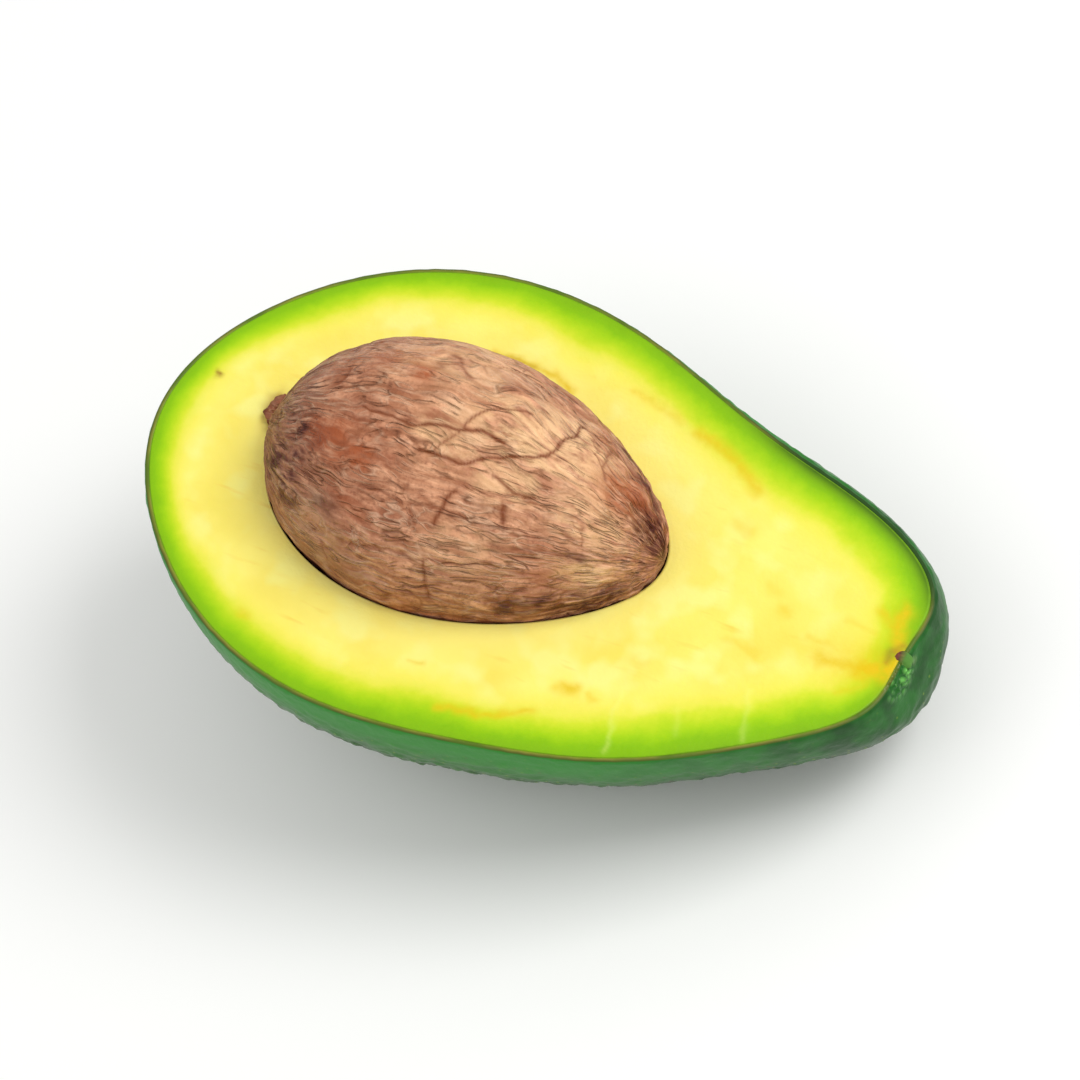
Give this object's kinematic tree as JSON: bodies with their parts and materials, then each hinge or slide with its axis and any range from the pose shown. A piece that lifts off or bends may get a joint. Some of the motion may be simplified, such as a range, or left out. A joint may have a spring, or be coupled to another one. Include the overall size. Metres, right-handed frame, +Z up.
{
  "type": "avocado half with seed",
  "caption": "Avocado cut lengthwise, one half with its seed in the flesh: green skin, yellow flesh, cut face up, lying on a small flat spot of skin.",
  "frame": {"origin": "on the surface that the half lies on, under the middle of its bounding box", "axes": "+X along the fruit towards the neck and the stem, +Y across it, +Z up, out of the cut face"},
  "size_m": [0.1068, 0.0696, 0.054],
  "materials": {
    "flesh": "satin",
    "skin": "semi-gloss",
    "seed_coat": "satin",
    "dry_stem": "matte"
  },
  "bodies": {
    "root": {"avocado_half": "flesh", "seed": "seed_coat", "stem_stub": "dry_stem"}
  },
  "joints": []
}
